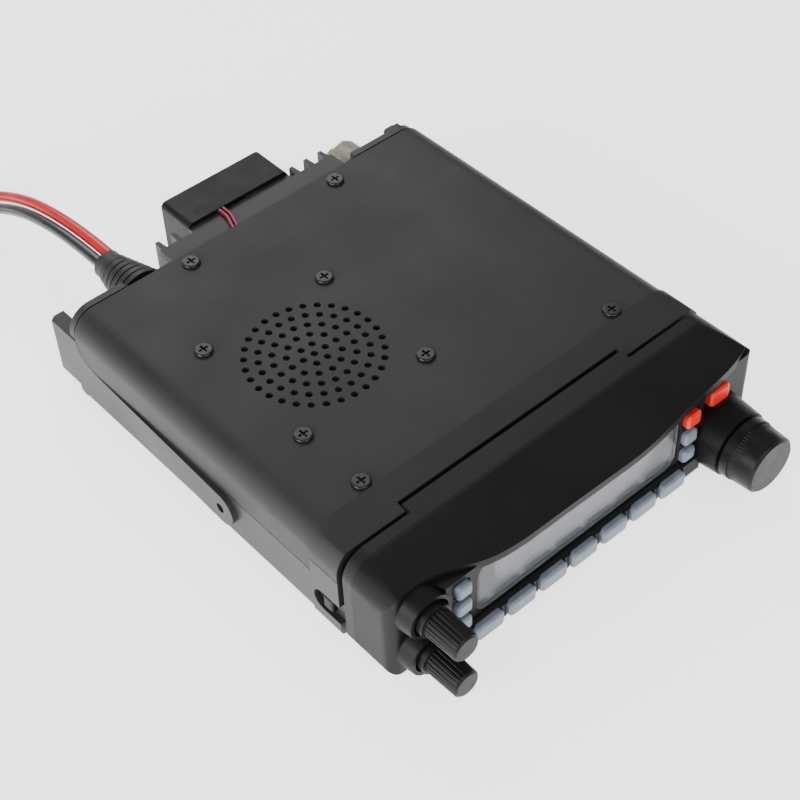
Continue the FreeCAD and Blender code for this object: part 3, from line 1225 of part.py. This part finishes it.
def all_parts():
    parts = {
        "chassis": chassis(),
        "top_cover": top_cover(),
        "cover_screws": cover_screws(),
        "front_frame": front_frame(),
        "speaker_frame": speaker_frame(),
        "speaker_cone": speaker_cone(),
        "speaker_magnet": speaker_magnet(),
        "speaker_felt": speaker_felt(),
        "speaker_screws": speaker_screws(),
        "main_board": main_board(),
        "board_parts": board_parts(),
        "board_screws": board_screws(),
        "shield_can": shield_can(),
        "power_module": power_module(),
        "head_socket": head_socket(),
        "antenna_socket": antenna_socket(),
        "antenna_insulator": antenna_insulator(),
        "antenna_contact": antenna_contact(),
        "speaker_jack": speaker_jack(),
        "fan_shroud": fan_shroud(),
        "fan_stator": fan_stator(),
        "fan_rotor": fan_rotor(),
        "fan_screws": fan_screws(),
        "fan_leads": fan_leads(),
        "strain_relief": strain_relief(),
        "red_lead": lead(behind(RED_WAY), "red lead"),
        "black_lead": lead(behind(BLACK_WAY), "black lead"),
        "power_plug": power_plug(),
        "release_latch": release_latch(),
        "latch_spring": latch_spring(),
        "head_front_case": head_front_case(),
        "head_rear_case": head_rear_case(),
        "display_window": display_window(),
        "lcd_panel": lcd_panel(),
        "light_box": light_box(),
        "head_board": head_board(),
        "volume_pot": control_body(KNOB_X, VOLUME_Z, 9.0, Y_LEFT),
        "squelch_pot": control_body(KNOB_X, SQUELCH_Z, 9.0, Y_LEFT),
        "dial_encoder": control_body(DIAL_X, DIAL_Z, 12.0, Y_RIGHT),
        "key_mat": key_mat(),
        "head_screws": head_screws(),
        "head_plug": head_plug(),
        "main_dial": main_dial(),
    }
    for name, x, z in knob_list():
        parts[name] = small_knob(x, z)
    for name, x, z, width, height, proud in key_list():
        parts[name] = key(x, z, width, height, proud)
    return parts


os.makedirs("parts", exist_ok=True)
for part_name, part_shape in all_parts().items():
    part_shape.exportStep(f"parts/{part_name}.step")
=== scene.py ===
import json
from math import radians

import bmesh
import bpy
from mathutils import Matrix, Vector


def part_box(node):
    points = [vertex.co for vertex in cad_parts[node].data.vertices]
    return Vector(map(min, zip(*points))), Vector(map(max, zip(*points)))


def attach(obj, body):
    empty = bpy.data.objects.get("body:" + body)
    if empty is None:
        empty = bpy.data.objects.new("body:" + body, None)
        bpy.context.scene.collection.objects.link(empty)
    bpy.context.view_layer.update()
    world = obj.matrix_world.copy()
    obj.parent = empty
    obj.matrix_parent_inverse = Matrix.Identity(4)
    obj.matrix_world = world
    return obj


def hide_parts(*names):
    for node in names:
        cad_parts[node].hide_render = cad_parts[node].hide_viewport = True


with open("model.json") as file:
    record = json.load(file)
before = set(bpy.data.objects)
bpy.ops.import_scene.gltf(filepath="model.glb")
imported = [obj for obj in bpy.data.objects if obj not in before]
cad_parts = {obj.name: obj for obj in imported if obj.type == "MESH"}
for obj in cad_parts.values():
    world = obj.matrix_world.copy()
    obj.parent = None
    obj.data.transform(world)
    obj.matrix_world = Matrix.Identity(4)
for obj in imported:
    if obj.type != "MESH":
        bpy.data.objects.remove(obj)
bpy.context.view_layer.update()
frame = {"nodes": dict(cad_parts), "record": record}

scene = bpy.context.scene


# ------------------------------------------------------------------ camera
# A long lens, high on the front left, so that the cover, the left side and the head's
# controls all show.
CAMERA_PLACE = (-0.22689, -0.26838, 0.37077)
CAMERA_DEGREES = (43.645, 1.694, -41.654)
LENS_LENGTH = 74.72
SENSOR_WIDTH = 36.0
NEAREST_SEEN = 0.01
camera_data = bpy.data.cameras.new("camera")
camera_data.lens = LENS_LENGTH
camera_data.sensor_width = SENSOR_WIDTH
camera_data.clip_start = NEAREST_SEEN
camera = bpy.data.objects.new("camera", camera_data)
camera.location = CAMERA_PLACE
camera.rotation_euler = [radians(angle) for angle in CAMERA_DEGREES]
scene.collection.objects.link(camera)
scene.camera = camera


# ------------------------------------------------------------------ supply leads
# Two soft PVC insulated wires, red and black. They leave the rubber bell at the rear wall,
# drop to the table and turn back to a flat two-way nylon plug.
MM = 0.001
LEAD_DIAMETER = 0.0038
EXIT_Y = 93.5
RED_WAY = [
    (-40.5, EXIT_Y, 26.0), (-40.5, 105.0, 26.0), (-40.7, 122.0, 24.4), (-41.3, 141.0, 20.4),
    (-43.4, 159.5, 13.2), (-49.5, 176.0, 5.6), (-62.5, 186.0, 2.2), (-79.0, 186.0, 2.0),
    (-91.5, 175.5, 2.1), (-96.6, 160.0, 4.5), (-96.6, 143.0, 4.5),
]
BLACK_WAY = [
    (-44.5, EXIT_Y, 25.0), (-44.5, 105.0, 25.0), (-44.8, 121.0, 23.6), (-45.6, 138.5, 19.8),
    (-47.5, 155.0, 12.9), (-53.1, 169.1, 5.6), (-63.9, 177.1, 2.2), (-77.5, 176.9, 2.0),
    (-87.2, 168.5, 2.1), (-91.8, 156.0, 4.5), (-91.8, 143.0, 4.5),
]


def wire(name, way, diameter):
    """A round wire along a smooth line through its route."""
    curve = bpy.data.curves.new(name, "CURVE")
    curve.dimensions = "3D"
    curve.bevel_depth = diameter / 2
    curve.bevel_resolution = 6
    curve.resolution_u = 16
    curve.use_fill_caps = True
    line = curve.splines.new("NURBS")
    line.points.add(len(way) - 1)
    for point, place in zip(line.points, way):
        point.co = (*(MM * value for value in place), 1.0)
    line.order_u = 3
    line.use_endpoint_u = True
    piece = bpy.data.objects.new(name, curve)
    scene.collection.objects.link(piece)
    return piece


COAT_ROUGHNESS = 0.15


def shader(name, colour, roughness, metallic=0.0, specular=0.5, coat=0.0):
    """A material with its even values on the shader's own sockets, and what its patterns read."""
    material = bpy.data.materials.new(name)
    material.use_nodes = True
    nodes = material.node_tree.nodes
    surface = nodes["Principled BSDF"]
    surface.inputs["Base Color"].default_value = (*colour, 1.0)
    surface.inputs["Roughness"].default_value = roughness
    surface.inputs["Metallic"].default_value = metallic
    surface.inputs["Specular IOR Level"].default_value = specular
    surface.inputs["Coat Weight"].default_value = coat
    surface.inputs["Coat Roughness"].default_value = COAT_ROUGHNESS
    place = nodes.new("ShaderNodeTexCoord")
    return material, nodes, material.node_tree.links, surface, place.outputs["Object"]


def noise(nodes, links, place, size, detail=4.0):
    """Cloudy noise whose blotches are about size metres across."""
    cloud = nodes.new("ShaderNodeTexNoise")
    cloud.inputs["Scale"].default_value = 1.0 / size
    cloud.inputs["Detail"].default_value = detail
    links.new(place, cloud.inputs["Vector"])
    return cloud.outputs["Fac"]


NOISE_LOW, NOISE_HIGH = 0.3, 0.7


def spread(nodes, links, value, low, high):
    """Maps the range where most of a noise lies to a range of numbers."""
    change = nodes.new("ShaderNodeMapRange")
    change.inputs["From Min"].default_value = NOISE_LOW
    change.inputs["From Max"].default_value = NOISE_HIGH
    change.inputs["To Min"].default_value = low
    change.inputs["To Max"].default_value = high
    links.new(value, change.inputs["Value"])
    return change.outputs["Result"]


FIRST_TONE_UP_TO, SECOND_TONE_FROM = 0.35, 0.68


def two_tone(nodes, links, surface, value, first, second):
    """Runs the base colour from one tone to another with a noise."""
    ramp = nodes.new("ShaderNodeValToRGB")
    ramp.color_ramp.elements[0].position = FIRST_TONE_UP_TO
    ramp.color_ramp.elements[1].position = SECOND_TONE_FROM
    ramp.color_ramp.elements[0].color = (*first, 1.0)
    ramp.color_ramp.elements[1].color = (*second, 1.0)
    links.new(value, ramp.inputs["Fac"])
    links.new(ramp.outputs["Color"], surface.inputs["Base Color"])


def relief(nodes, links, surface, value, depth, strength):
    """A bump of a real depth in metres."""
    bump = nodes.new("ShaderNodeBump")
    bump.inputs["Distance"].default_value = depth
    bump.inputs["Strength"].default_value = strength
    links.new(value, bump.inputs["Height"])
    links.new(bump.outputs["Normal"], surface.inputs["Normal"])


def wire_sheath(name, colour, dark):
    """Glossy PVC with a faint drawn grain and dusty patches."""
    material, nodes, links, surface, place = shader(name, colour, roughness=0.28, coat=0.25)
    patches = noise(nodes, links, place, size=0.012)
    two_tone(nodes, links, surface, patches, dark, colour)
    gloss = spread(nodes, links, patches, low=0.22, high=0.38)
    links.new(gloss, surface.inputs["Roughness"])
    grain = noise(nodes, links, place, size=0.0012)
    relief(nodes, links, surface, grain, depth=0.00005, strength=0.35)
    return material


def settle(piece, material, body, slot, *nodes):
    """A finished piece gets its material and its body, and the CAD nodes it stands for are
    hidden; the slot argument is not used.
    """
    piece.data.materials.clear()
    piece.data.materials.append(material)
    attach(piece, body)
    if nodes:
        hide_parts(*nodes)


red_wire = wire("supply_lead_red", RED_WAY, LEAD_DIAMETER)
settle(red_wire, wire_sheath("red_sheath", (0.56, 0.001, 0.004), (0.42, 0.001, 0.003)),
       "radio_body", "red_wire", "red_lead")
black_wire = wire("supply_lead_black", BLACK_WAY, LEAD_DIAMETER)
settle(black_wire, wire_sheath("black_sheath", (0.022, 0.026, 0.027), (0.010, 0.012, 0.012)),
       "radio_body", "black_wire", "black_lead")


# ------------------------------------------------------------------ chassis
# An aluminium casting with cooling fins and side rails, sprayed satin black. Posts in its
# floor carry the main board.
record = frame["record"]
slot_of = {row["node"]: row["material_slot"] for row in record["subparts"]}
body_of = {node: body for body, nodes in record["behaviour"]["bodies"].items() for node in nodes}
WELD_WITHIN = 2e-6
FLAT_WITHIN = radians(0.6)
ROUND_OVER = radians(32)
SHARP_OVER = radians(38)


def softened(name, node, edge, segments):
    """A CAD node's shape as one clean mesh with its edges rounded off."""
    mesh = frame["nodes"][node].data.copy()
    mesh.name = name
    form = bmesh.new()
    form.from_mesh(mesh)
    bmesh.ops.remove_doubles(form, verts=form.verts, dist=WELD_WITHIN)
    bmesh.ops.dissolve_limit(form, angle_limit=FLAT_WITHIN, use_dissolve_boundaries=False,
                             verts=form.verts, edges=form.edges)
    form.to_mesh(mesh)
    form.free()
    mesh.shade_smooth()
    mesh.set_sharp_from_angle(angle=SHARP_OVER)
    piece = bpy.data.objects.new(name, mesh)
    scene.collection.objects.link(piece)
    edges = piece.modifiers.new("edges", "BEVEL")
    edges.width = edge
    edges.segments = segments
    edges.limit_method = "ANGLE"
    edges.angle_limit = ROUND_OVER
    edges.use_clamp_overlap = True
    even = piece.modifiers.new("even", "WEIGHTED_NORMAL")
    even.keep_sharp = True
    return piece


def soften(node, material, edge, name=None, segments=2):
    """Rounds off a CAD node's edges by a width in metres and dresses it."""
    piece = softened(name or node + "_finished", node, edge, segments)
    settle(piece, material, body_of[node], slot_of[node], node)
    return piece


def sprayed_paint(name, colour, light, roughness, grain, depth, specular=0.3):
    """Sprayed paint: a fine pebbled skin, with slow changes of tone and gloss."""
    material, nodes, links, surface, place = shader(name, colour, roughness, specular=specular)
    slow = noise(nodes, links, place, size=0.03, detail=3.0)
    two_tone(nodes, links, surface, slow, colour, light)
    gloss = spread(nodes, links, slow, low=roughness - 0.05, high=roughness + 0.07)
    links.new(gloss, surface.inputs["Roughness"])
    fine = noise(nodes, links, place, size=grain, detail=5.0)
    relief(nodes, links, surface, fine, depth, strength=0.5)
    return material


cast_paint = sprayed_paint("cast_paint", (0.020, 0.020, 0.021), (0.029, 0.029, 0.030),
                           roughness=0.42, grain=0.0009, depth=0.00008)
soften("chassis", cast_paint, edge=0.0003)


# ------------------------------------------------------------------ circuit boards
# Glass fibre boards under green solder mask, with black moulded parts and a tinned steel can
# soldered on. Small tinned screws hold the main one to its posts.


def plain(name, colour, light, roughness, size=0.004, metallic=0.0, depth=0.00003, coat=0.0,
          specular=0.5):
    """A moulded, plated or printed surface with a little life in tone, gloss and relief."""
    material, nodes, links, surface, place = shader(name, colour, roughness, metallic,
                                                    specular, coat)
    patches = noise(nodes, links, place, size)
    two_tone(nodes, links, surface, patches, colour, light)
    gloss = spread(nodes, links, patches, low=roughness - 0.05, high=roughness + 0.06)
    links.new(gloss, surface.inputs["Roughness"])
    fine = noise(nodes, links, place, size / 6)
    relief(nodes, links, surface, fine, depth, strength=0.4)
    return material


def dress(node, material):
    """A CAD node that shows as it is gets its material."""
    for slot in frame["nodes"][node].material_slots:
        slot.material = material


solder_mask = plain("solder_mask", (0.012, 0.085, 0.040), (0.020, 0.120, 0.055),
                    roughness=0.32, size=0.002, coat=0.3)
black_epoxy = plain("black_epoxy", (0.018, 0.018, 0.020), (0.030, 0.030, 0.032),
                    roughness=0.42, size=0.001)
tinned = plain("tinned_steel", (0.52, 0.53, 0.54), (0.66, 0.67, 0.68),
               roughness=0.30, size=0.003, metallic=1.0)
for node in ("main_board", "head_board"):
    dress(node, solder_mask)
for node in ("board_parts", "power_module"):
    soften(node, black_epoxy, edge=0.00025)
for node in ("shield_can", "board_screws"):
    soften(node, tinned, edge=0.0002)


# ------------------------------------------------------------------ loudspeaker
# A small steel basket with a paper cone and a ferrite magnet, screwed up under the cover with
# a square of black felt between.
zinc = plain("zinc_plate", (0.42, 0.42, 0.40), (0.55, 0.54, 0.50),
             roughness=0.33, size=0.003, metallic=1.0)
paper = plain("cone_paper", (0.020, 0.020, 0.020), (0.045, 0.044, 0.042),
              roughness=0.85, size=0.0012, depth=0.0001)
ferrite = plain("ferrite", (0.050, 0.050, 0.055), (0.075, 0.075, 0.080),
                roughness=0.55, size=0.002)
black_felt = plain("black_felt", (0.008, 0.008, 0.008), (0.020, 0.020, 0.020),
                   roughness=0.95, size=0.0006, depth=0.0002)
dress("speaker_frame", zinc)
dress("speaker_cone", paper)
dress("speaker_magnet", ferrite)
dress("speaker_felt", black_felt)


# ------------------------------------------------------------------ cover
# A folded steel sheet with rounded bends, punched for the loudspeaker and sprayed in a fine
# textured black. Its front band stands a little proud. Four blackened screws hold it, and
# four more in its top hold the loudspeaker.
cover_paint = sprayed_paint("cover_paint", (0.015, 0.015, 0.015), (0.019, 0.019, 0.019),
                            roughness=0.50, grain=0.0007, depth=0.00010)
soften("top_cover", cover_paint, edge=0.00014)
black_oxide = plain("black_oxide", (0.016, 0.016, 0.017), (0.035, 0.034, 0.033),
                    roughness=0.30, size=0.0012, metallic=0.6)
for node in ("cover_screws", "speaker_screws", "head_screws", "fan_screws"):
    soften(node, black_oxide, edge=0.00009)


# ------------------------------------------------------------------ front of the body
# A moulded plate closes the body behind the head and carries the connector. The release latch
# is a moulded button in the left side, pushed out by a steel spring, here a plain sleeve.
moulded_black = plain("moulded_black", (0.005, 0.005, 0.005), (0.008, 0.008, 0.008),
                      roughness=0.46, size=0.006, specular=0.2)
for node in ("front_frame", "head_socket", "head_plug", "release_latch"):
    soften(node, moulded_black, edge=0.0002)
spring_wire = plain("spring_wire", (0.45, 0.45, 0.46), (0.60, 0.60, 0.60),
                    roughness=0.28, size=0.0015, metallic=1.0)
dress("latch_spring", spring_wire)


# ------------------------------------------------------------------ rear fittings
# The antenna socket is brass with bright nickel plating, with a white insulator and a split
# contact. The fan sits in a moulded duct against the fins.
nickel = plain("nickel_plate", (0.56, 0.55, 0.44), (0.70, 0.69, 0.58),
               roughness=0.24, size=0.004, metallic=1.0)
insulator = plain("insulator", (0.72, 0.71, 0.66), (0.80, 0.79, 0.75),
                  roughness=0.35, size=0.002)
contact = plain("contact", (0.66, 0.48, 0.20), (0.78, 0.60, 0.28),
                roughness=0.28, size=0.002, metallic=1.0)
soften("antenna_socket", nickel, edge=0.00008)
dress("antenna_insulator", insulator)
dress("antenna_contact", contact)
for node in ("speaker_jack", "fan_shroud", "fan_stator"):
    soften(node, moulded_black, edge=0.0003)
soften("fan_rotor", moulded_black, edge=0.00015)
dress("fan_leads", wire_sheath("fan_lead_sheath", (0.22, 0.002, 0.030), (0.15, 0.001, 0.020)))

bell_rubber = plain("bell_rubber", (0.008, 0.008, 0.009), (0.015, 0.015, 0.016),
                    roughness=0.50, size=0.003, depth=0.00006)
soften("strain_relief", bell_rubber, edge=0.0004, segments=3)
plug_nylon = plain("plug_nylon", (0.62, 0.60, 0.54), (0.70, 0.68, 0.62),
                   roughness=0.45, size=0.004)
plug = soften("power_plug", plug_nylon, edge=0.0004, name="supply_plug")


# ------------------------------------------------------------------ control head
# Two satin black mouldings. The front one has a brow over the display and tubes round the
# knobs, and the rear one is a shallow tray with a tab that reaches over the body.
head_skin = sprayed_paint("head_skin", (0.004, 0.004, 0.004), (0.006, 0.006, 0.006),
                          roughness=0.46, grain=0.0005, depth=0.00004, specular=0.16)
ring_skin = sprayed_paint("ring_skin", (0.008, 0.008, 0.008), (0.011, 0.011, 0.011),
                          roughness=0.45, grain=0.0006, depth=0.00004, specular=0.2)
soften("head_front_case", head_skin, edge=0.0002)
soften("head_rear_case", ring_skin, edge=0.00025)
for node in ("volume_pot", "squelch_pot", "dial_encoder"):
    soften(node, black_epoxy, edge=0.0002)
silicone = plain("silicone", (0.30, 0.30, 0.31), (0.38, 0.38, 0.39),
                 roughness=0.6, size=0.003)
dress("key_mat", silicone)


# ------------------------------------------------------------------ display
# A clear low-reflection window over a printed film and a liquid crystal panel, with a white
# light box behind it. The film's opening has a bowed lower edge.
window_low, window_high = (Vector(corner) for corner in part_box("display_window"))
LCD_OPENING = [
    (-36.2, 28.4), (-36.0, 20.0), (-35.2, 17.4), (-33.0, 15.2), (-29.0, 13.5), (-22.5, 12.5),
    (-13.0, 12.3), (-4.0, 12.3), (5.0, 12.3), (12.0, 12.5), (18.0, 13.5), (23.0, 15.6),
    (26.0, 19.0), (27.2, 24.0), (27.6, 28.4),
]
FILM_GAP = 0.0003
FILM_THICK = 0.00012
FILM_INSET = 0.0004
CLEARNESS = 0.94
REFRACTION = 1.16


def pane():
    """Clear acrylic with a low-reflection finish, thick enough to round its edges."""
    material, nodes, links, surface, place = shader("clear_acrylic", (0.86, 0.90, 0.94),
                                                    roughness=0.08, specular=0.25)
    surface.inputs["Transmission Weight"].default_value = CLEARNESS
    surface.inputs["IOR"].default_value = REFRACTION
    smudges = noise(nodes, links, place, size=0.015)
    gloss = spread(nodes, links, smudges, low=0.05, high=0.14)
    links.new(gloss, surface.inputs["Roughness"])
    return material


soften("display_window", pane(), edge=0.0003)


def display_film():
    """A printed sheet behind the window, cut out to show the liquid crystal."""
    mesh = bpy.data.meshes.new("display_film")
    form = bmesh.new()
    y = window_high.y + FILM_GAP
    x0, x1 = window_low.x + FILM_INSET, window_high.x - FILM_INSET
    z0, z1 = window_low.z + FILM_INSET, window_high.z - FILM_INSET
    inner = [(MM * x, MM * z) for x, z in LCD_OPENING]
    steps = len(inner) - 3
    bottom = [(x0 + (x1 - x0) * i / steps, z0) for i in range(steps + 1)]
    outer = [(x0, z1)] + bottom + [(x1, z1)]
    inner_row = [form.verts.new((x, y, z)) for x, z in inner]
    outer_row = [form.verts.new((x, y, z)) for x, z in outer]
    for i in range(len(inner) - 1):
        form.faces.new((outer_row[i], outer_row[i + 1], inner_row[i + 1], inner_row[i]))
    bmesh.ops.solidify(form, geom=form.faces[:], thickness=FILM_THICK)
    bmesh.ops.recalc_face_normals(form, faces=form.faces)
    form.to_mesh(mesh)
    form.free()
    film = bpy.data.objects.new("display_film", mesh)
    scene.collection.objects.link(film)
    return film


film_ink = plain("film_ink", (0.035, 0.055, 0.075), (0.050, 0.075, 0.095),
                 roughness=0.35, size=0.008, specular=0.2)
settle(display_film(), film_ink, "control_head", slot_of["display_window"])

liquid_crystal = plain("liquid_crystal", (0.095, 0.074, 0.079), (0.130, 0.103, 0.109),
                       roughness=0.30, size=0.02, specular=0.2)
dress("lcd_panel", liquid_crystal)
dress("light_box", insulator)


# ------------------------------------------------------------------ keys
# Moulded caps of pale blue-grey and red plastic, without legends. They stand out of the panel
# on a mat of silicone rubber.
key_grey = plain("key_plastic", (0.145, 0.170, 0.215), (0.195, 0.222, 0.270),
                 roughness=0.42, size=0.004, specular=0.3)
key_red = plain("red_key_plastic", (0.60, 0.012, 0.006), (0.74, 0.022, 0.010),
                roughness=0.34, size=0.004, specular=0.3)
for node in sorted(frame["nodes"]):
    if "_key_" in node:
        plastic = key_red if node.startswith("red") else key_grey
        soften(node, plastic, edge=0.0003, segments=3)


# ------------------------------------------------------------------ knobs
# Moulded knobs of satin black plastic with straight ridges for grip. Each is pushed onto its
# shaft.
knob_skin = plain("knob_plastic", (0.004, 0.004, 0.004), (0.007, 0.007, 0.007),
                  roughness=0.40, size=0.003, specular=0.18)
for node in ("volume_knob", "squelch_knob", "main_dial"):
    soften(node, knob_skin, edge=0.00012)


# ------------------------------------------------------------------ floor and light
# A pale seamless table that gives off a little light, a bright room, a large soft light from
# the left, and two weaker ones from the front and the back.
FLOOR_HALF_WIDTH = 6.0
FLOOR_GLOW = 1.8
ROOM_LIGHT = 0.48
WHITE = (1.0, 1.0, 1.0, 1.0)
form = bmesh.new()
bmesh.ops.create_grid(form, x_segments=1, y_segments=1, size=FLOOR_HALF_WIDTH)
floor_mesh = bpy.data.meshes.new("floor")
form.to_mesh(floor_mesh)
form.free()
floor = bpy.data.objects.new("floor", floor_mesh)
floor_paint, _, _, floor_surface, _ = shader("floor_white", (0.97, 0.97, 0.97),
                                             roughness=0.8, specular=0.1)
floor_surface.inputs["Emission Color"].default_value = WHITE
floor_surface.inputs["Emission Strength"].default_value = FLOOR_GLOW
floor_mesh.materials.append(floor_paint)
scene.collection.objects.link(floor)

world = bpy.data.worlds.new("room")
world.use_nodes = True
room_glow = world.node_tree.nodes["Background"]
room_glow.inputs["Color"].default_value = WHITE
room_glow.inputs["Strength"].default_value = ROOM_LIGHT
scene.world = world


def soft_light(name, place, aim, size, power):
    """A rectangular softbox, sized in metres and turned to face a point."""
    lamp = bpy.data.lights.new(name, "AREA")
    lamp.shape = "RECTANGLE"
    lamp.size, lamp.size_y = size
    lamp.energy = power
    thing = bpy.data.objects.new(name, lamp)
    thing.location = place
    thing.rotation_euler = (Vector(aim) - Vector(place)).to_track_quat("-Z", "Y").to_euler()
    scene.collection.objects.link(thing)


BODY_MIDDLE = (0, 0, 0.02)
HEAD_MIDDLE = (0, -0.05, 0.02)
soft_light("left_softbox", (-1.3, -0.10, 0.45), BODY_MIDDLE, size=(1.0, 0.6), power=24)
soft_light("front_softbox", (-0.2, -1.2, 0.7), HEAD_MIDDLE, size=(1.0, 0.5), power=7)
soft_light("back_softbox", (0.5, 1.2, 1.1), BODY_MIDDLE, size=(1.2, 0.8), power=11)
